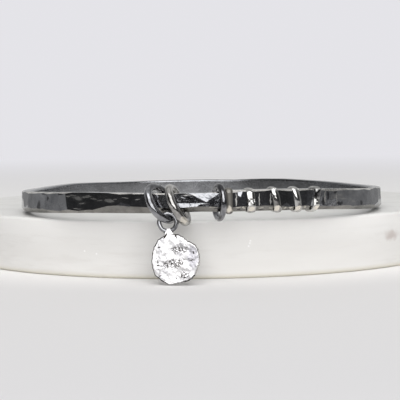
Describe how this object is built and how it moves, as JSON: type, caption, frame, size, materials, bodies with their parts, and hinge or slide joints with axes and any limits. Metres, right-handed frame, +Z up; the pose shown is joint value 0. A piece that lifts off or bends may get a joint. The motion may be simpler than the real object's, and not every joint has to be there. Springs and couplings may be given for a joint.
{
  "type": "charm bangle on a round display stand",
  "caption": "Hammered dark silver bangle with wire wraps, loose rings and a cast disc charm, on a round marble display stand.",
  "frame": {"origin": "centre of the display stand's underside", "axes": "+Z up, the bangle's front with the rings and the charm faces -Y, +X to the right as seen from the front"},
  "size_m": [0.096, 0.1045, 0.0163],
  "materials": {
    "silver_band": "hammered and polished dark silver",
    "silver_wire": "polished, slightly darkened silver wire",
    "silver_charm": "bright cast silver, darkened in its hollows",
    "marble": "honed off-white marble"
  },
  "bodies": {
    "root": {"bangle_band": "silver_band", "wrap_1": "silver_wire", "wrap_2": "silver_wire", "wrap_3": "silver_wire", "wrap_4": "silver_wire", "wrap_5": "silver_wire", "loose_ring_left": "silver_wire", "loose_ring_middle": "silver_wire", "loose_ring_right": "silver_wire", "charm": "silver_charm", "display_stand": "marble"}
  },
  "joints": []
}
